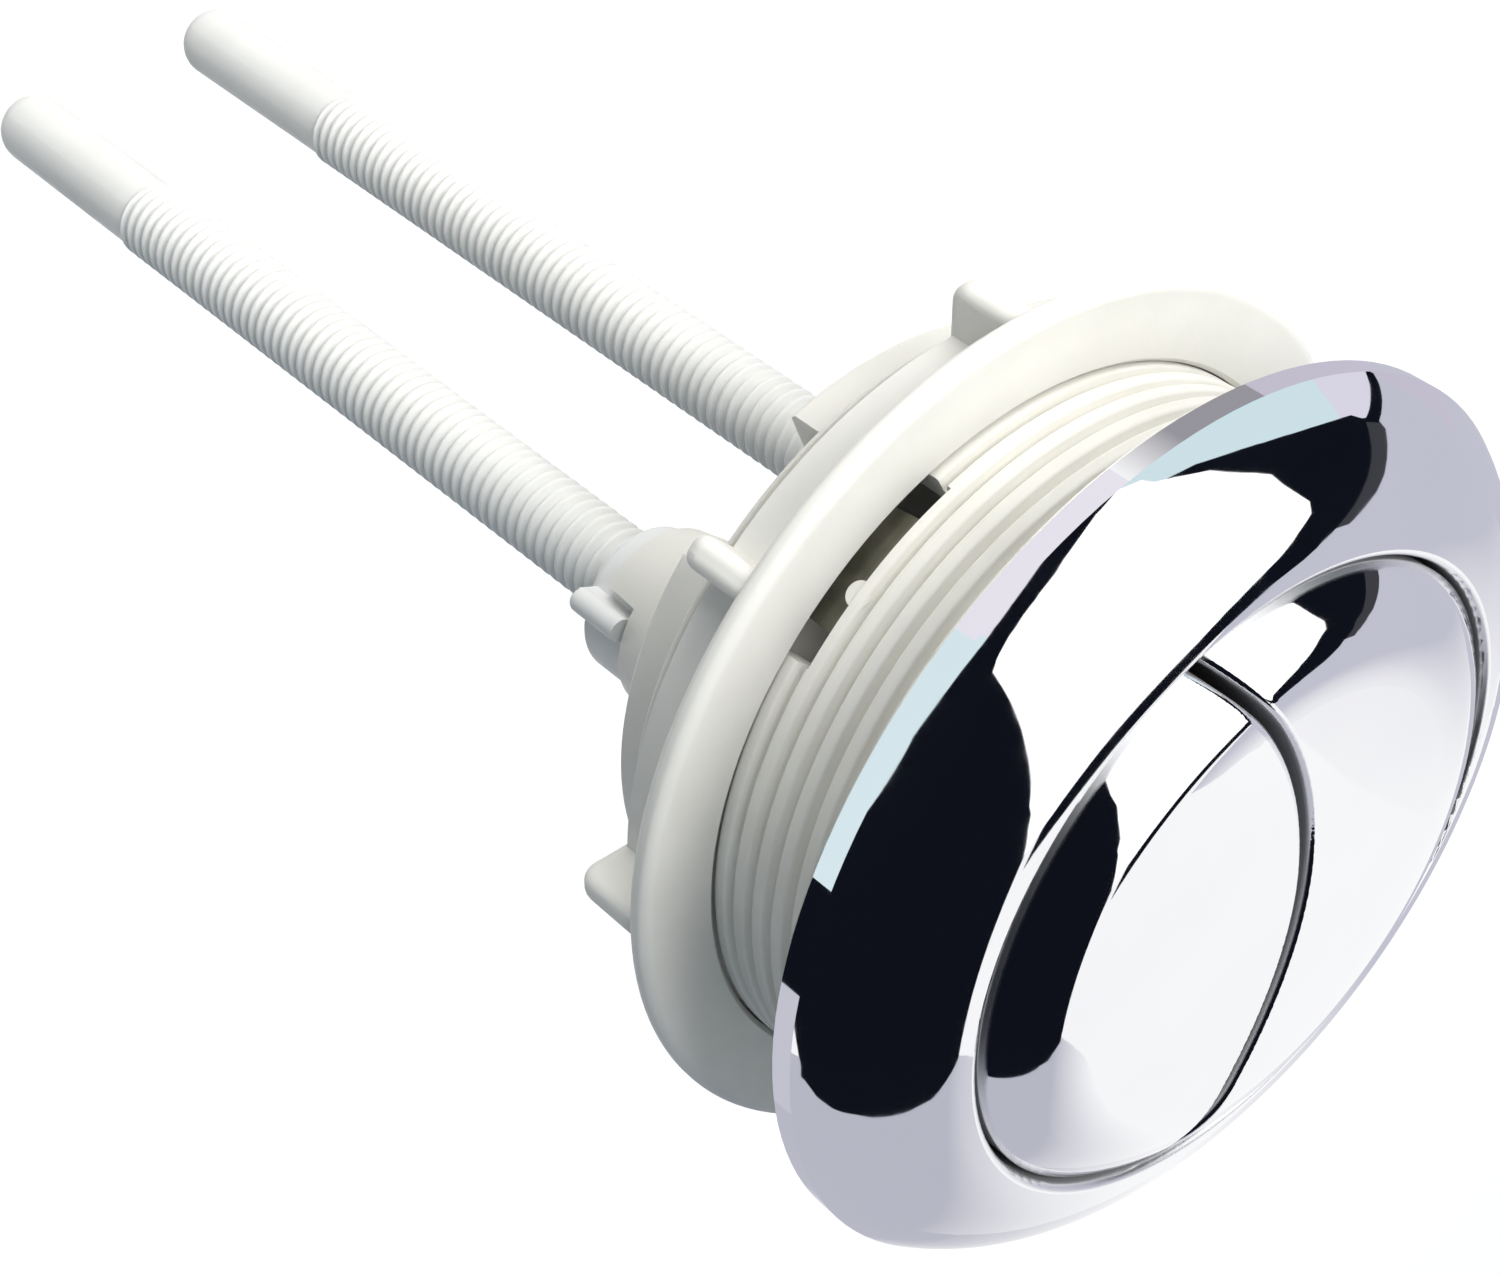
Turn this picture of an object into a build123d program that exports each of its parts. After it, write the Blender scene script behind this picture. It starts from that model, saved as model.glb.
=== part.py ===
from build123d import *
import os

# Push button cistern actuator, millimetres.
# Origin: centre of the bezel's seat plane on the cistern lid, +Z out of the face, rods towards -Z.
# The two rods lie on the X axis, the lens-shaped button on the -X side.

# Bezel
bezel_radius = 29.0
seat_outer_radius = 28.7
seat_chamfer_height = 0.3
dome_foot_height = 1.7
crest_height = 7.3
dome_bow = 1.05
dome_wall = 1.4
under_crest_height = 5.7
under_dome_bow = 0.85
opening_radius = 20.65
opening_lip = 0.5
collar_wall = 1.0
collar_depth = 0.8

# Snap legs of the bezel and the windows of the barrel
window_count = 3
window_bearing = 125.0
window_angle = 30.5
window_front = -9.5
window_length = 4.6
leg_angle = 20.0
leg_end = -13.0
leg_root = 0.3
hook_reach = 0.75
hook_land = 0.6
hook_clearance = 0.3
pip_radius = 0.8
pip_bearing = 3.4
pip_length = 0.7
pip_inset = 0.15

# Barrel
barrel_wall = 1.65
barrel_bore_clearance = 0.1
barrel_top_clearance = 0.12
barrel_top_chamfer = 0.4
thread_end = -18.8
thread_end_chamfer = 0.4
bore_end = -17.2
rear_radius = 20.8
rear_face = -23.1
rear_chamfer = 0.5
rear_wall = 1.5
floor_wall = 2.0
notch_angle = 28.0
notch_depth = 3.6

# Guides for the plungers through the barrel's floor, and their keyways
rod_offset = 9.0
guide_clearance = 0.2
guide_radius = 6.4
guide_top = -16.8
guide_root_radius = 7.4
guide_end_radius = 5.15
guide_end = -33.5
keyway_front = -30.3
keyway_side = 16.0

# Lock nut
nut_front = -10.9
nut_bore_clearance = 0.1
nut_bore_chamfer = 0.3
flange_radius = 28.6
flange_wall = 1.6
flange_round = 0.7
hub_wall = 1.5
hub_length = 5.9
rib_count = 8
rib_wall = 2.0
rib_reach = 3.3
rib_end = -17.4
rib_corner = 1.3
rib_round = 0.8
rib_overlap = 0.3

# Button caps
button_gap = 0.35
groove = 0.7
split_centre = -23.7
split_radius = 25.84
shoulder_foot = 6.8
flat_radius = 14.0
flat_height = 9.6
crown_height = 9.8
shoulder_bow = 0.73
cap_wall = 1.2
skirt_end = -0.3
split_edge_round = 0.45

# Plungers
stem_radius = 4.4
stem_top = 8.2
stem_end = -35.5
stem_round = 0.5
plate_top = 1.5
plate_bottom = -0.1
plate_clearance = 0.05
key_turn = 24.0
key_centre = 5.9
key_radius = 0.8
key_end = -34.9
key_round = 0.6
key_neck = 1.2
key_root = 3.6
key_clearance = 0.2
web_radius = 5.4
web_angle = 60.0
web_end = -34.2
rod_bore_end = -1.8
rod_bore_clearance = 0.05

# Rods, M6
rod_radius = 2.95
rod_top = -10.8
tip_radius = 2.7
tip_round = 2.0
rod_shoulder = 0.25
lens_thread_end = -92.3
lens_tip = -111.5
crescent_thread_end = -93.8
crescent_tip = -113.9

# Springs
wire_radius = 0.35
spring_radius = 5.5
spring_pitch = 2.6
spring_seat_gap = 0.05
spring_bends = 10
wire_sides = 6

button_radius = opening_radius - button_gap
collar_radius = opening_radius + collar_wall
barrel_bore = collar_radius + barrel_bore_clearance
thread_radius = barrel_bore + barrel_wall
dome_in = bezel_radius - dome_wall
under_dome_slope = (under_crest_height - dome_foot_height) / (dome_in - collar_radius)
barrel_top = dome_foot_height + under_dome_slope * (dome_in - thread_radius) - barrel_top_clearance


def turned(points):
    """Full revolve of a closed outline of radius and height pairs."""
    return revolve(Plane.XZ * make_face(Polyline(*points, close=True)), Axis.Z)


def sector(points, angle, bearing):
    """Revolve of an outline through an angle centred on a bearing."""
    face = Plane.XZ * make_face(Polyline(*points, close=True))
    return Rot(0, 0, bearing - angle / 2) * revolve(face, Axis.Z, revolution_arc=angle)


def window_bearings():
    return [window_bearing + 360 / window_count * i for i in range(window_count)]


def make_bezel():
    """Domed ring with an inner collar and snap legs."""
    crest = (opening_radius + opening_lip, crest_height)
    lip_foot = (opening_radius, crest_height - opening_lip)
    outline = [
        Line((dome_in, 0), (seat_outer_radius, 0)),
        Line((seat_outer_radius, 0), (bezel_radius, seat_chamfer_height)),
        Line((bezel_radius, seat_chamfer_height), (bezel_radius, dome_foot_height)),
        SagittaArc((bezel_radius, dome_foot_height), crest, -dome_bow),
        RadiusArc(crest, lip_foot, -opening_lip),
        Line(lip_foot, (opening_radius, -collar_depth)),
        Line((opening_radius, -collar_depth), (collar_radius, -collar_depth)),
        Line((collar_radius, -collar_depth), (collar_radius, under_crest_height)),
        SagittaArc((collar_radius, under_crest_height), (dome_in, dome_foot_height), under_dome_bow),
        Line((dome_in, dome_foot_height), (dome_in, 0)),
    ]
    ring = revolve(Plane.XZ * make_face(outline), Axis.Z)
    hook_top = window_front - hook_clearance
    leg = [
        (opening_radius, -leg_root),
        (collar_radius, -leg_root),
        (collar_radius, hook_top),
        (collar_radius + hook_reach, hook_top),
        (collar_radius + hook_reach, hook_top - hook_land),
        (collar_radius, leg_end),
        (opening_radius, leg_end),
    ]
    for bearing in window_bearings():
        ring += sector(leg, leg_angle, bearing)
    return ring


def key_bearing(side):
    """Bearing of a plunger's key about its own rod."""
    return (180 if side < 0 else 0) - key_turn


def make_guide(side):
    """Guide for a plunger: spring seat inside the barrel, tapered nose behind it, keyway in the nose."""
    outline = [
        (stem_radius + guide_clearance, guide_top),
        (guide_radius, guide_top),
        (guide_radius, rear_face + floor_wall),
        (guide_root_radius, rear_face),
        (guide_end_radius, guide_end),
        (stem_radius + guide_clearance, guide_end),
    ]
    keyway = [
        (key_root, keyway_front),
        (guide_root_radius + floor_wall, keyway_front),
        (guide_root_radius + floor_wall, guide_end - floor_wall),
        (key_root, guide_end - floor_wall),
    ]
    angle = web_angle + 2 * keyway_side
    guide = turned(outline) - sector(keyway, angle, key_bearing(side) + web_angle / 2)
    return Pos(side * rod_offset, 0, 0) * guide


def make_barrel():
    """Threaded sleeve, at the thread's outer size, with windows and a narrower notched rear end."""
    rear_bore = rear_radius - rear_wall
    outline = [
        (barrel_bore, barrel_top),
        (thread_radius - barrel_top_chamfer, barrel_top),
        (thread_radius, barrel_top - barrel_top_chamfer),
        (thread_radius, thread_end + thread_end_chamfer),
        (thread_radius - thread_end_chamfer, thread_end),
        (rear_radius, thread_end),
        (rear_radius, rear_face + rear_chamfer),
        (rear_radius - rear_chamfer, rear_face),
        (0, rear_face),
        (0, rear_face + floor_wall),
        (rear_bore, rear_face + floor_wall),
        (rear_bore, bore_end),
        (barrel_bore, bore_end),
    ]
    sleeve = turned(outline)
    floor_hole = Cylinder(stem_radius + guide_clearance, 4 * floor_wall)
    for side in (-1, 1):
        sleeve -= Pos(side * rod_offset, 0, rear_face) * floor_hole
        sleeve += make_guide(side)
    window_back = window_front - window_length
    opening = [
        (barrel_bore - collar_wall, window_front),
        (thread_radius + collar_wall, window_front),
        (thread_radius + collar_wall, window_back),
        (barrel_bore - collar_wall, window_back),
    ]
    notch = [
        (rear_radius - notch_depth, thread_end),
        (thread_radius, thread_end),
        (thread_radius, rear_face - floor_wall),
        (rear_radius - notch_depth, rear_face - floor_wall),
    ]
    for bearing in window_bearings():
        sleeve -= sector(opening, window_angle, bearing)
        sleeve -= sector(notch, notch_angle, bearing)
    pip = Pos(thread_radius - pip_inset - pip_length / 2, 0, window_front) * Rot(0, 90, 0)
    pip *= Cylinder(pip_radius, pip_length)
    for bearing in window_bearings():
        sleeve += Rot(0, 0, bearing + pip_bearing) * pip
    return sleeve


def make_lock_nut():
    """Flanged ring nut with radial finger ribs behind the flange."""
    bore = thread_radius + nut_bore_clearance
    hub_radius = bore + hub_wall
    rib_radius = hub_radius + rib_reach
    back = nut_front - flange_wall
    end = nut_front - hub_length
    flat_edge = flange_radius - flange_round
    outline = [
        Line((bore, nut_front - nut_bore_chamfer), (bore + nut_bore_chamfer, nut_front)),
        Line((bore + nut_bore_chamfer, nut_front), (flat_edge, nut_front)),
        RadiusArc((flat_edge, nut_front), (flange_radius, nut_front - flange_round), flange_round),
        Line((flange_radius, nut_front - flange_round), (flange_radius, back + flange_round)),
        RadiusArc((flange_radius, back + flange_round), (flat_edge, back), flange_round),
        Line((flat_edge, back), (hub_radius, back)),
        Line((hub_radius, back), (hub_radius, end)),
        Line((hub_radius, end), (bore, end)),
        Line((bore, end), (bore, nut_front - nut_bore_chamfer)),
    ]
    nut = revolve(Plane.XZ * make_face(outline), Axis.Z)
    root = hub_radius - rib_overlap
    rib_outline = [
        Line((root, back + rib_overlap), (rib_radius, back + rib_overlap)),
        Line((rib_radius, back + rib_overlap), (rib_radius, rib_end + rib_corner)),
        RadiusArc((rib_radius, rib_end + rib_corner), (rib_radius - rib_corner, rib_end), rib_corner),
        Line((rib_radius - rib_corner, rib_end), (root, rib_end)),
        Line((root, rib_end), (root, back + rib_overlap)),
    ]
    rib = extrude(Plane.XZ * make_face(rib_outline), rib_wall / 2, both=True)
    long_edges = rib.edges().filter_by(Axis.Y, reverse=True)
    free = [e for e in long_edges if (e @ 0.5).X > hub_radius and (e @ 0.5).Z < back]
    rib = fillet(free, rib_round)
    for i in range(rib_count):
        nut += Rot(0, 0, 360 / rib_count * i) * rib
    return nut


def lens_region(radius, inset):
    """Plan of the near button: the round, inside the split circle."""
    return Circle(radius) & Pos(split_centre, 0) * Circle(split_radius - groove / 2 - inset)


def crescent_region(radius, inset):
    """Plan of the far button: the round, outside the split circle."""
    return Circle(radius) - Pos(split_centre, 0) * Circle(split_radius + groove / 2 + inset)


def button_dome(radius, bottom, inset):
    """Turned body of the buttons: upright side, rounded shoulder, nearly flat top."""
    foot = (radius, shoulder_foot - inset / 2)
    flat = (flat_radius - inset / 2, flat_height - inset)
    crown = (0, crown_height - inset)
    outline = [
        Line((0, bottom), (radius, bottom)),
        Line((radius, bottom), foot),
        SagittaArc(foot, flat, -shoulder_bow),
        Line(flat, crown),
        Line(crown, (0, bottom)),
    ]
    return revolve(Plane.XZ * make_face(outline), Axis.Z)


def on_split(edge):
    """True for an edge of the top that runs along the split circle."""
    middle = edge @ 0.5
    from_centre = (middle - Vector(split_centre, 0, middle.Z)).length
    return middle.Z > shoulder_foot and abs(from_centre - split_radius) < groove


def make_cap(region):
    """Hollow button cap, open below, with a softened edge along the split."""
    below = skirt_end - cap_wall
    height = crown_height - below
    block = Pos(0, 0, skirt_end) * extrude(region(button_radius, 0), height)
    body = button_dome(button_radius, skirt_end, 0) & block
    body = fillet([e for e in body.edges() if on_split(e)], split_edge_round)
    hollow_block = Pos(0, 0, below) * extrude(region(button_radius - cap_wall, cap_wall), height)
    hollow = button_dome(button_radius - cap_wall, below, cap_wall) & hollow_block
    return body - hollow


def make_key():
    """Rounded key and the web beside it, which ride in the guide's keyway and stop the plunger."""
    front = keyway_front - key_clearance
    length = front - key_end
    bar = Pos(key_centre, 0, front - length / 2) * Cylinder(key_radius, length)
    bar = fillet(bar.edges().sort_by(Axis.Z)[0], key_round)
    neck = Pos((key_root + key_centre) / 2, 0, front - length / 2)
    neck *= Box(key_centre - key_root, key_neck, length)
    web = [(key_root, front), (web_radius, front), (web_radius, web_end), (key_root, web_end)]
    return bar + neck + sector(web, web_angle, web_angle / 2)


def make_plunger(region, side):
    """Plate that fills the cap's skirt, and a stem with a key through the barrel's guide."""
    inset = cap_wall + plate_clearance
    plan = region(button_radius - inset, inset)
    plate = Pos(0, 0, plate_bottom) * extrude(plan, plate_top - plate_bottom)
    stem = Pos(0, 0, (stem_top + stem_end) / 2) * Cylinder(stem_radius, stem_top - stem_end)
    stem = fillet(stem.edges().sort_by(Axis.Z)[0], stem_round)
    stem += Rot(0, 0, key_bearing(side)) * make_key()
    body = plate + Pos(side * rod_offset, 0, 0) * stem
    bore_length = rod_bore_end - stem_end
    bore = Cylinder(rod_radius + rod_bore_clearance, bore_length)
    return body - Pos(side * rod_offset, 0, rod_bore_end - bore_length / 2) * bore


def make_rod(side, thread_end_height, tip_height):
    """Rod at the thread's outer size, with a smooth rounded tip."""
    outline = [
        Line((0, rod_top), (rod_radius - rod_shoulder, rod_top)),
        Line((rod_radius - rod_shoulder, rod_top), (rod_radius, rod_top - rod_shoulder)),
        Line((rod_radius, rod_top - rod_shoulder), (rod_radius, thread_end_height + rod_shoulder)),
        Line((rod_radius, thread_end_height + rod_shoulder), (tip_radius, thread_end_height)),
        Line((tip_radius, thread_end_height), (tip_radius, tip_height + tip_round)),
        RadiusArc((tip_radius, tip_height + tip_round), (tip_radius - tip_round, tip_height), tip_round),
        Line((tip_radius - tip_round, tip_height), (0, tip_height)),
        Line((0, tip_height), (0, rod_top)),
    ]
    return Pos(side * rod_offset, 0, 0) * revolve(Plane.XZ * make_face(outline), Axis.Z)


def make_spring(side):
    """Coil between the guide's top and the plunger's plate, bent in short straight runs."""
    low = guide_top + spring_seat_gap + wire_radius
    high = plate_bottom - spring_seat_gap - wire_radius
    coil = Pos(side * rod_offset, 0, low) * Helix(spring_pitch, high - low, spring_radius)
    bends = round((high - low) / spring_pitch * spring_bends)
    path = Polyline(*[coil @ (i / bends) for i in range(bends + 1)])
    wire = Plane(origin=path @ 0, z_dir=path % 0) * RegularPolygon(wire_radius, wire_sides)
    return sweep(wire, path, transition=Transition.RIGHT)


os.makedirs("parts", exist_ok=True)
export_step(make_bezel(), "parts/bezel.step")
export_step(make_barrel(), "parts/barrel.step")
export_step(make_lock_nut(), "parts/lock_nut.step")
export_step(make_cap(lens_region), "parts/button_lens.step")
export_step(make_cap(crescent_region), "parts/button_crescent.step")
export_step(make_plunger(lens_region, -1), "parts/plunger_lens.step")
export_step(make_plunger(crescent_region, 1), "parts/plunger_crescent.step")
export_step(make_rod(-1, lens_thread_end, lens_tip), "parts/rod_lens.step")
export_step(make_rod(1, crescent_thread_end, crescent_tip), "parts/rod_crescent.step")
export_step(make_spring(-1), "parts/spring_lens.step")
export_step(make_spring(1), "parts/spring_crescent.step")
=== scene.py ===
import math

import bmesh
import bpy
from mathutils import Matrix, Vector


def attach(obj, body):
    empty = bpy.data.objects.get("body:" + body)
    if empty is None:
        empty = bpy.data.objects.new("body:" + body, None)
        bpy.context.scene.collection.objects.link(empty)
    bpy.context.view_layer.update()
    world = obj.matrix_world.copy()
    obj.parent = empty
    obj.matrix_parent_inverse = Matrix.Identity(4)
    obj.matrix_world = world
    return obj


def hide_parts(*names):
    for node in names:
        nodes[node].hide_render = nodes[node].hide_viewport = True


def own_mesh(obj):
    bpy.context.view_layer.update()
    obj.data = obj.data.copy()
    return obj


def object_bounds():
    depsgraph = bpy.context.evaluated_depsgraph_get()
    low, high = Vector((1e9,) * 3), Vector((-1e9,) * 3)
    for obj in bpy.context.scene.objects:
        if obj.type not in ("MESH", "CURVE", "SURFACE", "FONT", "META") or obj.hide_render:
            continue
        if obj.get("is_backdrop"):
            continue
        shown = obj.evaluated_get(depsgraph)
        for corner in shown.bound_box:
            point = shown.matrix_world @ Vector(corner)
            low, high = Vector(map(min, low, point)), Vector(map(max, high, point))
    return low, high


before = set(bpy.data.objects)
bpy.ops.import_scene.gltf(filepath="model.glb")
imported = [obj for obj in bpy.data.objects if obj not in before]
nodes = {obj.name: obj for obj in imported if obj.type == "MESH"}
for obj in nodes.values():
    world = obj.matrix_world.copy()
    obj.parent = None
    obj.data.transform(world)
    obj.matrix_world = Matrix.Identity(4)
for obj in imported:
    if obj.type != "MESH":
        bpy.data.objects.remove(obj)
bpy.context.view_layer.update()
scene = bpy.context.scene

MM = 0.001

# Barrel, millimetres
thread_crest = 23.4
thread_root = 22.55
thread_pitch = 1.57
thread_bearing = 20.0
thread_low = -18.4
thread_high = 4.0
barrel_top = 4.4
barrel_end = -18.8
end_chamfer = 0.4
thread_steps = 160
barrel_bore = 21.75
bore_end = -17.2
rear_radius = 20.8
rear_bore = 19.3
rear_face = -23.1
rear_chamfer = 0.5
floor_top = -21.1

# Windows and notches in the barrel
window_bearings = (125.0, 245.0, 5.0)
window_angle = 30.5
window_front = -9.5
window_back = -14.1
notch_angle = 28.0
notch_floor = 17.2
pip_radius = 0.8
pip_turn = 3.4
pip_in = 22.55
pip_out = 23.25
pip_sides = 32

# Guides at the barrel's rear
guide_bore = 4.6
guide_radius = 6.4
guide_top = -16.8
guide_root_radius = 7.4
guide_end_radius = 5.15
guide_end = -33.5
keyway_front = -30.3
keyway_side = 16.0
key_turn = 24.0
web_angle = 60.0
floor_hole_depth = 10.0
buried_step = 0.3

# Rods, with the height of each thread's end and of each tip
rod_offset = 9.0
rod_crest = 2.95
rod_root = 2.36
rod_pitch = 1.0
rod_top = -10.8
rod_tip_radius = 2.7
rod_tip_round = 2.0
rod_neck = 0.3
rod_steps = 40
tip_steps = 8
rod_ends = {"lens": (-92.3, -111.5), "crescent": (-93.8, -113.9)}

# Springs
wire_radius = 0.35
wire_sides = 12
coil_steps = 48
coil_radius = 5.5
coil_pitch = 2.6
coil_low = -16.4
coil_high = -0.5
press_travel = 6.0

# Floor, clear of the rods when they are screwed out and pressed down
rod_unscrewed = 15.0
floor_gap = 1.0

# Thread outlines over half a pitch, as radius and height from the middle of the root
barrel_thread = [
    (thread_root, 0), (thread_root, 0.1), (thread_root + 0.08, 0.16), (thread_crest - 0.14, 0.3),
    (thread_crest - 0.04, 0.36), (thread_crest, 0.45), (thread_crest, 0.62),
]
rod_thread = [
    (rod_root, 0), (rod_root + 0.06, 0.07), (rod_root + 0.3, 0.19), (rod_crest - 0.09, 0.31),
    (rod_crest - 0.02, 0.38), (rod_crest, 0.46),
]

# Places where the plating is dull, soft or missing, and the width over which each fades
split_centre = -23.7
split_radius = 25.84
slot_half = 0.36
slot_fade = 0.1
button_side = 20.25
side_fade = 0.03
opening_radius = 20.65
opening_fade = 0.05
gap_radius = 20.5
gap_half = 0.45
gap_fade = 0.2
legs_top = -1.0
legs_fade = 1.0

# Turned shapes, cuts and joins
full_turn = 2 * math.pi
round_steps = 72
cut_over = 1.0
merge_gap = 0.002
cut_gap = 0.0001
rim_gap = 0.01
cap_lift = 0.001

# Shading: the turn of a crease, in degrees
barrel_crease = 40
round_crease = 50


# Shapes
def link(name, bm):
    """Object of that name from a finished bmesh."""
    bmesh.ops.recalc_face_normals(bm, faces=bm.faces)
    mesh = bpy.data.meshes.new(name)
    bm.to_mesh(mesh)
    bm.free()
    piece = bpy.data.objects.new(name, mesh)
    scene.collection.objects.link(piece)
    return piece


def smooth(piece, angle):
    """Smooth shading, with a crease wherever faces turn by more than the angle."""
    piece.data.shade_smooth()
    piece.data.set_sharp_from_angle(angle=math.radians(angle))


def carve(piece, tool, operation):
    """Joins a tool to the piece or cuts it away, and removes the tool."""
    change = piece.modifiers.new("carve", "BOOLEAN")
    change.operation = operation
    change.solver = "MANIFOLD"
    change.object = tool
    graph = bpy.context.evaluated_depsgraph_get()
    result = bpy.data.meshes.new_from_object(piece.evaluated_get(graph))
    piece.modifiers.remove(change)
    piece.data = result
    bpy.data.objects.remove(tool)


def about_axis(bearing):
    """Turn about the axis by a bearing in degrees."""
    return Matrix.Rotation(math.radians(bearing), 3, "Z")


def chain(bm, points):
    """Run of edges through radius and height pairs, in millimetres, in the plane of the axis."""
    verts = [bm.verts.new((radius * MM, 0, height * MM)) for radius, height in points]
    edges = [bm.edges.new(pair) for pair in zip(verts, verts[1:])]
    return verts + edges


def wind(bm, outline, pitch, low, high, steps):
    """Thread surface: an outline one pitch tall, wound one turn, copied up the axis and cut flat."""
    strip = chain(bm, [(radius, low - pitch + height) for radius, height in outline])
    bmesh.ops.spin(bm, geom=strip, cent=(0, 0, 0), axis=(0, 0, 1), dvec=(0, 0, pitch * MM / steps),
                   angle=full_turn, steps=steps, use_merge=False)
    turns = 1
    while turns * pitch < high - low + 2 * pitch:
        copy = bmesh.ops.duplicate(bm, geom=bm.verts[:] + bm.edges[:] + bm.faces[:])["geom"]
        verts = [g for g in copy if isinstance(g, bmesh.types.BMVert)]
        bmesh.ops.translate(bm, verts=verts, vec=(0, 0, turns * pitch * MM))
        turns *= 2
    bmesh.ops.remove_doubles(bm, verts=bm.verts, dist=merge_gap * MM)
    for height, side in ((low, -1), (high, 1)):
        bmesh.ops.bisect_plane(bm, geom=bm.verts[:] + bm.edges[:] + bm.faces[:], dist=cut_gap * MM,
                               plane_co=(0, 0, height * MM), plane_no=(0, 0, side), clear_outer=True)


def rim(bm, height):
    """Open edges at that height."""
    return [e for e in bm.edges if e.is_boundary
            and all(abs(v.co.z - height * MM) < rim_gap * MM for v in e.verts)]


def grow(bm, edges, outline):
    """Carries an open rim through circles of given radius and height, then closes it."""
    for radius, height in outline:
        made = bmesh.ops.extrude_edge_only(bm, edges=edges)["geom"]
        for v in [g for g in made if isinstance(g, bmesh.types.BMVert)]:
            flat = Vector((v.co.x, v.co.y, 0)).normalized() * radius * MM
            v.co = (flat.x, flat.y, height * MM)
        edges = [g for g in made if isinstance(g, bmesh.types.BMEdge)]
    bmesh.ops.contextual_create(bm, geom=edges)


def mirrored(half, pitch):
    """Thread outline over one pitch from its lower half."""
    return half + [(radius, pitch - height) for radius, height in reversed(half)]


def lathe(bm, points, x=0.0, angle=360.0, bearing=0.0):
    """Adds a closed outline turned through an angle, from a bearing on, about an upright line at x."""
    before = set(bm.verts)
    verts = [bm.verts.new((radius * MM, 0, height * MM)) for radius, height in points]
    bmesh.ops.rotate(bm, verts=verts, cent=(0, 0, 0), matrix=about_axis(bearing))
    whole = angle == 360.0
    if whole:
        geom = verts + [bm.edges.new(pair) for pair in zip(verts, verts[1:] + verts[:1])]
    else:
        geom = [bm.faces.new(verts)]
    bmesh.ops.spin(bm, geom=geom, cent=(0, 0, 0), axis=(0, 0, 1), angle=math.radians(angle),
                   steps=round_steps if whole else math.ceil(angle), use_merge=whole)
    made = [v for v in bm.verts if v not in before]
    bmesh.ops.translate(bm, verts=made, vec=(x * MM, 0, 0))


def barrel_openings():
    """Windows for the snap legs, notches behind them, and room in the floor for the guides."""
    bm = bmesh.new()
    inside = barrel_bore - cut_over
    outside = thread_crest + cut_over
    behind = rear_face - cut_over
    window = [(inside, window_back), (outside, window_back), (outside, window_front), (inside, window_front)]
    notch = [(notch_floor, behind), (outside, behind), (outside, barrel_end), (notch_floor, barrel_end)]
    for bearing in window_bearings:
        lathe(bm, window, 0, window_angle, bearing - window_angle / 2)
        lathe(bm, notch, 0, notch_angle, bearing - notch_angle / 2)
    for side in (-1, 1):
        place = Matrix.Translation((side * rod_offset * MM, 0, floor_top * MM))
        middle = (guide_bore + guide_radius) / 2 * MM
        bmesh.ops.create_cone(bm, cap_ends=True, segments=round_steps, radius1=middle, radius2=middle,
                              depth=floor_hole_depth * MM, matrix=place)
    return link("openings", bm)


def barrel_guides():
    """Two guides with tapered noses, and the pips at the windows."""
    bm = bmesh.new()
    taper = (guide_root_radius - guide_end_radius) / (rear_face - guide_end)
    buried = (floor_top + rear_face) / 2
    outline = [(guide_bore, guide_top), (guide_radius, guide_top), (guide_radius, buried + buried_step),
               (guide_root_radius + taper * (buried - rear_face), buried), (guide_end_radius, guide_end),
               (guide_bore, guide_end)]
    for side in (-1, 1):
        lathe(bm, outline, side * rod_offset)
    for bearing in window_bearings:
        place = Matrix.Rotation(math.radians(bearing + pip_turn), 4, "Z")
        place @= Matrix.Translation(((pip_in + pip_out) / 2 * MM, 0, window_front * MM))
        place @= Matrix.Rotation(math.pi / 2, 4, "Y")
        bmesh.ops.create_cone(bm, cap_ends=True, segments=pip_sides, radius1=pip_radius * MM,
                              radius2=pip_radius * MM, depth=(pip_out - pip_in) * MM, matrix=place)
    return link("guides", bm)


def barrel_keyways():
    """Openings at the guides' ends for the plungers' keys."""
    bm = bmesh.new()
    inside = guide_bore - cut_over
    outside = guide_root_radius + cut_over
    behind = guide_end - cut_over
    outline = [(inside, behind), (outside, behind), (outside, keyway_front), (inside, keyway_front)]
    for side, bearing in ((-1, 180 - key_turn), (1, -key_turn)):
        lathe(bm, outline, side * rod_offset, web_angle + 2 * keyway_side, bearing - keyway_side)
    return link("keyways", bm)


def make_barrel():
    """Threaded barrel with a chamfered top, a narrower rear end, windows, notches and guides."""
    bm = bmesh.new()
    wind(bm, mirrored(barrel_thread, thread_pitch), thread_pitch, thread_low, thread_high, thread_steps)
    bmesh.ops.rotate(bm, verts=bm.verts, cent=(0, 0, 0), matrix=about_axis(thread_bearing))
    grow(bm, rim(bm, thread_high), [
        (thread_crest - end_chamfer, barrel_top), (barrel_bore, barrel_top), (barrel_bore, bore_end),
        (rear_bore, bore_end), (rear_bore, floor_top),
    ])
    grow(bm, rim(bm, thread_low), [
        (thread_crest - end_chamfer, barrel_end), (rear_radius, barrel_end),
        (rear_radius, rear_face + rear_chamfer), (rear_radius - rear_chamfer, rear_face),
    ])
    barrel = link("threaded_barrel", bm)
    carve(barrel, barrel_openings(), "DIFFERENCE")
    carve(barrel, barrel_guides(), "UNION")
    carve(barrel, barrel_keyways(), "DIFFERENCE")
    return barrel


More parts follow.
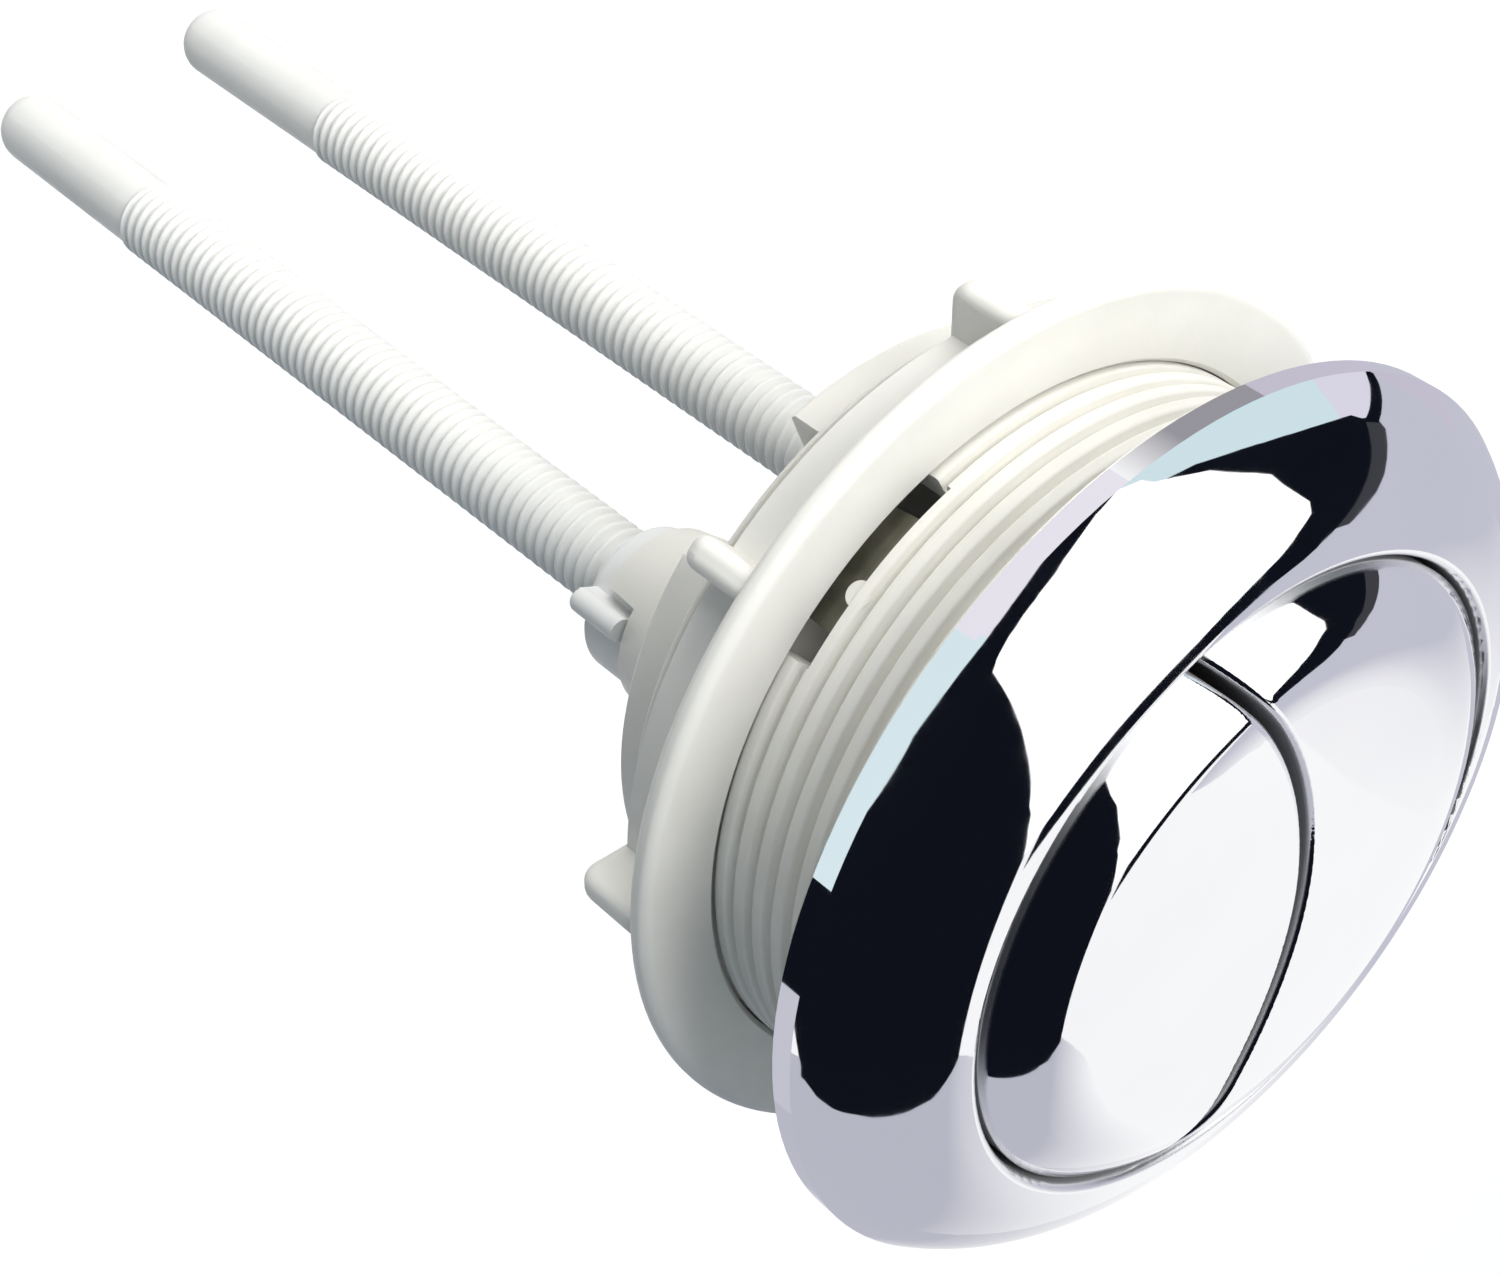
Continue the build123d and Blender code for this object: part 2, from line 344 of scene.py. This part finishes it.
def make_rod(name, x, thread_end, tip):
    """Threaded rod with a smooth tip that ends in a round."""
    bm = bmesh.new()
    wind(bm, mirrored(rod_thread, rod_pitch), rod_pitch, thread_end, rod_top, rod_steps)
    grow(bm, rim(bm, rod_top), [(rod_root, rod_top + cap_lift)])
    point = [(rod_tip_radius, thread_end - rod_neck), (rod_tip_radius, thread_end - 2 * rod_neck),
             (rod_tip_radius, tip + rod_tip_round + rod_neck), (rod_tip_radius, tip + rod_tip_round)]
    for i in range(1, tip_steps + 1):
        angle = math.pi / 2 * i / tip_steps
        point.append((rod_tip_radius - rod_tip_round * (1 - math.cos(angle)),
                      tip + rod_tip_round * (1 - math.sin(angle))))
    grow(bm, rim(bm, thread_end), point)
    bmesh.ops.translate(bm, verts=bm.verts, vec=(x * MM, 0, 0))
    return link(name, bm)


def make_spring(name, x):
    """Coil of round wire with closed ends."""
    bm = bmesh.new()
    ring = bmesh.ops.create_circle(bm, cap_ends=True, segments=wire_sides, radius=wire_radius * MM,
                                   matrix=Matrix.Translation((coil_radius * MM, 0, coil_low * MM))
                                   @ Matrix.Rotation(math.pi / 2, 4, "X"))
    rise = coil_high - coil_low
    turns = rise / coil_pitch
    steps = round(turns * coil_steps)
    geom = ring["verts"] + list({e for v in ring["verts"] for e in v.link_edges})
    geom += list({f for v in ring["verts"] for f in v.link_faces})
    bmesh.ops.spin(bm, geom=geom, cent=(0, 0, 0), axis=(0, 0, 1), dvec=(0, 0, rise * MM / steps),
                   angle=full_turn * turns, steps=steps)
    bmesh.ops.translate(bm, verts=bm.verts, vec=(x * MM, 0, 0))
    return link(name, bm)


# Finishes
grain_low = 0.3
grain_high = 0.7
dull_grey = (0.42, 0.42, 0.44)
dull_loss = 0.6
dull_rough = 0.5
edge_rough = 0.3
bare_rough = 0.45


def new_finish(name):
    """Node material, with its tree and its shader."""
    finish = bpy.data.materials.new(name)
    finish.use_nodes = True
    return finish, finish.node_tree, finish.node_tree.nodes["Principled BSDF"]


def noise(tree, scale, detail=3.0):
    """Grain over the object's own coordinates."""
    coords = tree.nodes.new("ShaderNodeTexCoord")
    grain = tree.nodes.new("ShaderNodeTexNoise")
    grain.inputs["Scale"].default_value = scale
    grain.inputs["Detail"].default_value = detail
    tree.links.new(coords.outputs["Object"], grain.inputs["Vector"])
    return grain.outputs["Fac"]


def ramp(tree, factor, stops):
    """Colours at places along a factor."""
    node = tree.nodes.new("ShaderNodeValToRGB")
    while len(node.color_ramp.elements) < len(stops):
        node.color_ramp.elements.new(0.5)
    for element, (place, colour) in zip(node.color_ramp.elements, stops):
        element.position = place
        element.color = (*colour, 1)
    tree.links.new(factor, node.inputs["Fac"])
    return node.outputs["Color"]


def spread(tree, factor, low, high):
    """Grain stretched to run from low to high."""
    node = tree.nodes.new("ShaderNodeMapRange")
    node.inputs["From Min"].default_value = grain_low
    node.inputs["From Max"].default_value = grain_high
    node.inputs["To Min"].default_value = low
    node.inputs["To Max"].default_value = high
    tree.links.new(factor, node.inputs["Value"])
    return node.outputs["Result"]


def bump(tree, height, depth, strength):
    """Surface normal of a fine relief, its depth in millimetres."""
    node = tree.nodes.new("ShaderNodeBump")
    node.inputs["Distance"].default_value = depth * MM
    node.inputs["Strength"].default_value = strength
    tree.links.new(height, node.inputs["Height"])
    return node.outputs["Normal"]


def from_line(tree, x):
    """Distance from an upright line at x, in metres, over the object's own coordinates."""
    coords = tree.nodes.new("ShaderNodeTexCoord")
    flat = tree.nodes.new("ShaderNodeVectorMath")
    flat.operation = "MULTIPLY"
    flat.inputs[1].default_value = (1, 1, 0)
    tree.links.new(coords.outputs["Object"], flat.inputs[0])
    gap = tree.nodes.new("ShaderNodeVectorMath")
    gap.operation = "DISTANCE"
    gap.inputs[1].default_value = (x * MM, 0, 0)
    tree.links.new(flat.outputs["Vector"], gap.inputs[0])
    return gap.outputs["Value"]


def along(tree, axis):
    """Place along an axis, in metres, over the object's own coordinates."""
    coords = tree.nodes.new("ShaderNodeTexCoord")
    parts = tree.nodes.new("ShaderNodeSeparateXYZ")
    tree.links.new(coords.outputs["Object"], parts.inputs["Vector"])
    return parts.outputs[axis]


def step(tree, value, low, high):
    """Goes from 0 to 1 as a value goes from low to high, in millimetres."""
    node = tree.nodes.new("ShaderNodeMapRange")
    node.inputs["From Min"].default_value = low * MM
    node.inputs["From Max"].default_value = high * MM
    tree.links.new(value, node.inputs["Value"])
    return node.outputs["Result"]


def math_node(tree, operation, first, second):
    """Sum, product or the like of two numbers or sockets."""
    node = tree.nodes.new("ShaderNodeMath")
    node.operation = operation
    for socket, value in zip(node.inputs, (first, second)):
        if isinstance(value, float):
            socket.default_value = value
        else:
            tree.links.new(value, socket)
    return node.outputs["Value"]


def blend_of(tree, factor, first, second):
    """Mix of two colours or colour sockets."""
    node = tree.nodes.new("ShaderNodeMix")
    node.data_type = "RGBA"
    tree.links.new(factor, node.inputs["Factor"])
    for socket, value in ((node.inputs["A"], first), (node.inputs["B"], second)):
        if isinstance(value, tuple):
            socket.default_value = (*value, 1)
        else:
            tree.links.new(value, socket)
    return node.outputs["Result"]


def plating(name, dull_place):
    """Bright chrome, softer beside the gap round the caps, dull and grey where dull_place says so."""
    finish, tree, shader = new_finish(name)
    dull = dull_place(tree)
    bright = ramp(tree, noise(tree, 60), [(0.3, (0.9, 0.905, 0.93)), (0.7, (0.94, 0.942, 0.955))])
    grain = spread(tree, noise(tree, 420, 5), 0.015, 0.045)
    metal = math_node(tree, "SUBTRACT", 1.0, math_node(tree, "MULTIPLY", dull, dull_loss))
    tree.links.new(metal, shader.inputs["Metallic"])
    tree.links.new(blend_of(tree, dull, bright, dull_grey), shader.inputs["Base Color"])
    off_gap = math_node(tree, "SUBTRACT", from_line(tree, 0), gap_radius * MM)
    edge = step(tree, math_node(tree, "ABSOLUTE", off_gap, 0.0), gap_half + gap_fade, gap_half)
    soft = math_node(tree, "MAXIMUM", math_node(tree, "MULTIPLY", dull, dull_rough),
                     math_node(tree, "MULTIPLY", edge, edge_rough))
    tree.links.new(math_node(tree, "MAXIMUM", grain, soft), shader.inputs["Roughness"])
    tree.links.new(bump(tree, noise(tree, 110, 1), 0.01, 0.1), shader.inputs["Normal"])
    return finish, tree, shader


def button_plating():
    """Chrome of the caps, dull on their sides and along the slot between them."""
    def dull_place(tree):
        off_split = math_node(tree, "SUBTRACT", from_line(tree, split_centre), split_radius * MM)
        slot = step(tree, math_node(tree, "ABSOLUTE", off_split, 0.0), slot_half + slot_fade, slot_half)
        side = step(tree, from_line(tree, 0), button_side, button_side + side_fade)
        return math_node(tree, "MAXIMUM", slot, side)
    return plating("button_plating", dull_place)[0]


def bezel_plating():
    """Chrome of the bezel, dull inside the opening; its snap legs are left as dark moulding."""
    def dull_place(tree):
        return step(tree, from_line(tree, 0), opening_radius + opening_fade, opening_radius)
    finish, tree, shader = plating("bezel_plating", dull_place)
    bare = step(tree, along(tree, "Z"), legs_top, legs_top - legs_fade)
    plated = shader.inputs["Base Color"].links[0].from_socket
    rough = shader.inputs["Roughness"].links[0].from_socket
    moulding = ramp(tree, noise(tree, 500), [(0.35, (0.13, 0.125, 0.09)), (0.65, (0.21, 0.2, 0.15))])
    tree.links.new(blend_of(tree, bare, plated, moulding), shader.inputs["Base Color"])
    metal = shader.inputs["Metallic"].links[0].from_socket
    tree.links.new(math_node(tree, "MULTIPLY", metal, math_node(tree, "SUBTRACT", 1.0, bare)),
                   shader.inputs["Metallic"])
    tree.links.new(math_node(tree, "MAXIMUM", rough, math_node(tree, "MULTIPLY", bare, bare_rough)),
                   shader.inputs["Roughness"])
    return finish


def moulded_plastic(name, light, dark):
    """White moulding with a slight mottle, a fine grain and a little light beneath its surface."""
    finish, tree, shader = new_finish(name)
    tree.links.new(ramp(tree, noise(tree, 130), [(0.3, dark), (0.7, light)]), shader.inputs["Base Color"])
    tree.links.new(spread(tree, noise(tree, 900, 4), 0.32, 0.48), shader.inputs["Roughness"])
    tree.links.new(bump(tree, noise(tree, 2600, 2), 0.03, 0.25), shader.inputs["Normal"])
    shader.inputs["Subsurface Weight"].default_value = 0.12
    shader.inputs["Subsurface Radius"].default_value = (1.0, 0.9, 0.75)
    shader.inputs["Subsurface Scale"].default_value = 0.6 * MM
    return finish


def drawn_wire():
    """Grey spring steel."""
    finish, tree, shader = new_finish("drawn_wire")
    shader.inputs["Metallic"].default_value = 1.0
    tree.links.new(ramp(tree, noise(tree, 700), [(0.3, (0.42, 0.42, 0.43)), (0.7, (0.6, 0.6, 0.61))]),
                   shader.inputs["Base Color"])
    tree.links.new(spread(tree, noise(tree, 1500), 0.2, 0.4), shader.inputs["Roughness"])
    return finish


def coat(piece, finish):
    """Gives a new piece its finish."""
    piece.data.materials.clear()
    piece.data.materials.append(finish)


def coat_node(name, finish):
    """Gives a CAD node a finish through its own slots."""
    for slot in nodes[name].material_slots:
        slot.material = finish


# Pieces
barrel_plastic = moulded_plastic("barrel_plastic", (0.83, 0.815, 0.765), (0.77, 0.755, 0.705))
nut_plastic = moulded_plastic("nut_plastic", (0.84, 0.83, 0.79), (0.79, 0.78, 0.74))
rod_plastic = moulded_plastic("rod_plastic", (0.85, 0.85, 0.83), (0.8, 0.8, 0.78))
plunger_plastic = moulded_plastic("plunger_plastic", (0.82, 0.825, 0.82), (0.77, 0.775, 0.77))
wire = drawn_wire()

cap_chrome = button_plating()
coat_node("bezel", bezel_plating())
coat_node("button_lens", cap_chrome)
coat_node("button_crescent", cap_chrome)
coat_node("lock_nut", nut_plastic)
coat_node("plunger_lens", plunger_plastic)
coat_node("plunger_crescent", plunger_plastic)

barrel = make_barrel()
smooth(barrel, barrel_crease)
coat(barrel, barrel_plastic)
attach(barrel, "housing")
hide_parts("barrel")

for name, x in (("lens", -rod_offset), ("crescent", rod_offset)):
    rod = make_rod("threaded_rod_" + name, x, *rod_ends[name])
    smooth(rod, round_crease)
    coat(rod, rod_plastic)
    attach(rod, name + "_rod")
    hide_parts("rod_" + name)
    spring = make_spring("coil_spring_" + name, x)
    smooth(spring, round_crease)
    coat(spring, wire)
    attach(spring, "housing")
    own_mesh(spring)
    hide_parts("spring_" + name)


# Studio: the low sheets and the floor in metres, the cards in degrees
sheet_radius = 0.17
sheet_low = -0.112
sheet_high = 0.0
sheet_steps = 24
card_reach = 120
card_cells = 90
floor_reach = 3
floor_grey = 0.3
floor_white = 0.86
room_tint = (0.235, 0.28, 0.32)
lamp_colour = (1.0, 0.98, 0.94)


def direction(tilt, turn):
    """Unit vector at an angle from the axis and a bearing, in radians."""
    return Vector((math.sin(tilt) * math.cos(turn), math.sin(tilt) * math.sin(turn), math.cos(tilt)))


def stage_object(name, bm, finish):
    """Piece of the studio, not of the part."""
    piece = link(name, bm)
    piece.data.materials.append(finish)
    piece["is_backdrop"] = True
    return piece


def empty_finish(name):
    """Node material whose tree has no nodes yet."""
    finish = bpy.data.materials.new(name)
    finish.use_nodes = True
    finish.node_tree.nodes.clear()
    return finish, finish.node_tree


def glow(name, colour, strength=1.0, fade=None):
    """Even light of a card. A fade names an axis and two places in metres, from the colour to white."""
    finish, tree = empty_finish(name)
    light = tree.nodes.new("ShaderNodeEmission")
    light.inputs["Color"].default_value = (*colour, 1)
    light.inputs["Strength"].default_value = strength
    if fade:
        axis, begin, end = fade
        share = step(tree, along(tree, axis), begin / MM, end / MM)
        tree.links.new(blend_of(tree, share, colour, (1.0, 1.0, 1.0)), light.inputs["Color"])
    output = tree.nodes.new("ShaderNodeOutputMaterial")
    tree.links.new(light.outputs["Emission"], output.inputs["Surface"])
    return finish


def for_gloss(card):
    """Leaves a card to the chrome's reflections alone."""
    card.visible_camera = False
    card.visible_diffuse = False
    card.visible_transmission = False
    card.visible_shadow = False


def studio_card(name, corners, distance, finish):
    """Curved card round the part. Corners are angles from the part's axis, as degrees to +X and +Y."""
    bm = bmesh.new()
    bmesh.ops.create_grid(bm, x_segments=card_cells, y_segments=card_cells, size=card_reach)
    middle = sum((Vector(c) for c in corners), Vector((0, 0))) / len(corners)
    for a, b in zip(corners, corners[1:] + corners[:1]):
        run = Vector(b) - Vector(a)
        out = Vector((run.y, -run.x))
        if out.dot(Vector(a) - middle) < 0:
            out.negate()
        bmesh.ops.bisect_plane(bm, geom=bm.verts[:] + bm.edges[:] + bm.faces[:], plane_co=(*a, 0),
                               plane_no=(*out, 0), clear_outer=True)
    for v in bm.verts:
        v.co = direction(math.radians(v.co.xy.length), math.atan2(v.co.y, v.co.x)) * distance
    for_gloss(stage_object(name, bm, finish))


grey = (0.51, 0.515, 0.585)
pale = (0.56, 0.56, 0.645)
dark_cloth = glow("dark_cloth", (0.005, 0.006, 0.011))
low_blue = glow("low_blue", (0.72, 0.86, 0.89))
low_white = glow("low_white", (0.86, 0.83, 0.9))

studio_card("soft_box", [(9.4, -25), (-26.9, 39.2), (-26, 42.5), (-22.5, 47.5), (-16.5, 52.3), (-5.5, 58.5),
                         (6, 63), (14, 64.5), (20.6, 62), (34.3, 46.9), (43.4, 28), (45.9, 8), (45, 3),
                         (39, -6), (30, -16.5)], 0.6, glow("soft_box_glow", (1.0, 1.0, 1.0), 1.25))
studio_card("dark_card_left", [(8.6, -46.5), (1.9, -49.4), (-9.9, -53), (-23.5, -56.5), (-34.5, -58.5),
                               (-45.8, -58.5), (-53.5, -55.5), (-65, -37), (-70, -20), (-69.5, -2.5),
                               (-61.5, 15), (-48.5, 34), (-41, 41), (-33, 47.5), (-26, 52.3), (-19, 56.5),
                               (-7.5, 62), (5.8, 67), (14.5, 69)], 0.62, dark_cloth)
studio_card("dark_card_right", [(20, 64), (33, 53), (44, 47.5), (56, 40), (68.5, 28), (71, 17), (57, 1.5),
                                (42, -14.7), (37.6, -16.9), (12, -28.5)], 0.62, dark_cloth)
studio_card("dark_edge", [(70, 17), (91, 17), (93, 14), (73, 12)], 0.63, dark_cloth)
studio_card("dim_card", [(69, 20), (74.5, 14), (72.5, 9), (49, -10.5), (40, -5)], 0.64,
            glow("dim_cloth", (0.05, 0.05, 0.06)))
studio_card("grey_sheet_left", [(-66, -50), (9, -46), (52, -60), (36, -100), (-40, -110)], 0.66,
            glow("grey_sheet", grey, fade=("X", 0.06, 0.29)))
studio_card("grey_sheet_right", [(26, -26), (72, 16), (100, 16), (100, -34), (60, -62)], 0.66,
            glow("pale_sheet", pale, fade=("Y", -0.26, -0.44)))
studio_card("white_patch", [(77, 40), (66, 22), (74, 12), (92, 14), (93, 24)], 0.65,
            glow("patch_glow", (0.74, 0.71, 0.82)))
studio_card("blue_sheet", [(12, 64), (17, 76), (52, 68), (66, 58), (78, 40), (66, 20), (30, 44)], 0.68,
            glow("blue_sheet_glow", (0.65, 0.8, 0.84)))
studio_card("rim_sheet_near", [(-20, 40), (-45, 10), (-70, 0), (-75, 20), (-60, 50), (-40, 66)], 0.64,
            low_blue)
studio_card("rim_sheet_far", [(-10, 50), (-20, 40), (-40, 66), (-20, 75), (12, 76), (12, 60)], 0.645,
            low_white)


def low_sheet(name, start, end, finish):
    """Upright sheet round the foot of the part, between two bearings, which only the gloss sees."""
    bm = bmesh.new()
    low, high = [bm.verts.new((sheet_radius, 0, level)) for level in (sheet_low, sheet_high)]
    bmesh.ops.rotate(bm, verts=[low, high], cent=(0, 0, 0), matrix=about_axis(start))
    bmesh.ops.spin(bm, geom=[low, high, bm.edges.new((low, high))], cent=(0, 0, 0), axis=(0, 0, 1),
                   angle=math.radians(end - start), steps=sheet_steps)
    for_gloss(stage_object(name, bm, finish))


low_sheets = [
    ("low_sheet_right", -64, -6, glow("low_pale", pale, fade=("Y", -0.13, -0.153))),
    ("low_sheet_top", -6, 36, glow("low_lilac", (0.58, 0.55, 0.65))),
    ("low_sheet_shade", 36, 76, glow("low_shade", (0.33, 0.32, 0.35), fade=("X", 0.085, 0.041))),
    ("low_sheet_far", 76, 122, low_white),
    ("low_sheet_near", 122, 181, low_blue),
    ("low_sheet_dark", 181, 207, dark_cloth),
    ("low_sheet_dim", 207, 242, glow("low_dim", (0.58, 0.58, 0.65))),
    ("low_sheet_foot", 242, 296, glow("low_grey", grey, fade=("X", 0.0155, 0.075))),
]
for name, start, end, finish in low_sheets:
    low_sheet(name, start, end, finish)


def seen_directly(tree):
    """1 for rays of the camera, of gloss and of transmission, 0 for diffuse light."""
    path = tree.nodes.new("ShaderNodeLightPath").outputs
    seen = math_node(tree, "MAXIMUM", path["Is Camera Ray"], path["Is Glossy Ray"])
    return math_node(tree, "MAXIMUM", seen, path["Is Transmission Ray"])


def pale_floor():
    """White to the camera and to gloss, with a diffuse share that takes the shadows."""
    finish, tree = empty_finish("pale_floor")
    matt = tree.nodes.new("ShaderNodeBsdfDiffuse")
    matt.inputs["Color"].default_value = (floor_grey, floor_grey, floor_grey, 1)
    white = tree.nodes.new("ShaderNodeEmission")
    tree.links.new(math_node(tree, "MULTIPLY", seen_directly(tree), floor_white), white.inputs["Strength"])
    both = tree.nodes.new("ShaderNodeAddShader")
    tree.links.new(matt.outputs["BSDF"], both.inputs[0])
    tree.links.new(white.outputs["Emission"], both.inputs[1])
    output = tree.nodes.new("ShaderNodeOutputMaterial")
    tree.links.new(both.outputs["Shader"], output.inputs["Surface"])
    return finish


floor_mesh = bmesh.new()
floor_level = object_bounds()[0][2] - (press_travel + rod_unscrewed + floor_gap) * MM
bmesh.ops.create_grid(floor_mesh, x_segments=1, y_segments=1, size=floor_reach,
                      matrix=Matrix.Translation((0, 0, floor_level)))
stage_object("floor", floor_mesh, pale_floor())


def white_world():
    """White room to the camera and to gloss, dimmer and slightly blue as diffuse light."""
    world = bpy.data.worlds.new("white_room")
    world.use_nodes = True
    tree = world.node_tree
    tree.links.new(ramp(tree, seen_directly(tree), [(0.0, room_tint), (1.0, (1, 1, 1))]),
                   tree.nodes["Background"].inputs["Color"])
    return world


scene.world = white_world()
scene.view_settings.view_transform = "Standard"


def soft_lamp(name, tilt, turn, distance, size, power, aim):
    """Square lamp aimed at a height on the axis; tilt is from the axis, turn is a bearing, in degrees."""
    lamp = bpy.data.lights.new(name, "AREA")
    lamp.size = size
    lamp.energy = power
    lamp.color = lamp_colour
    piece = bpy.data.objects.new(name, lamp)
    away = direction(math.radians(tilt), math.radians(turn))
    piece.location = away * distance + Vector((0, 0, aim))
    piece.rotation_euler = away.to_track_quat("Z", "Y").to_euler()
    piece.visible_glossy = False
    scene.collection.objects.link(piece)


soft_lamp("key_lamp", tilt=35, turn=90, distance=0.6, size=0.4, power=3.4, aim=-0.01)
soft_lamp("side_lamp", tilt=82, turn=95, distance=0.7, size=0.4, power=1.4, aim=-0.01)
soft_lamp("rod_lamp", tilt=92, turn=68, distance=0.42, size=0.3, power=1.3, aim=-0.085)

# Camera at the photograph's viewpoint
view = bpy.data.cameras.new("photo_camera")
view.sensor_width = 36
view.lens = 72.1
view.shift_x = -0.0047
view.shift_y = -0.0048
view.clip_start = 0.01
camera = bpy.data.objects.new("photo_camera", view)
camera.location = (-0.09899, 0.11885, 0.08072)
camera.rotation_euler = [math.radians(a) for a in (-39.7606, -40.736, -0.1525)]
scene.collection.objects.link(camera)
scene.camera = camera
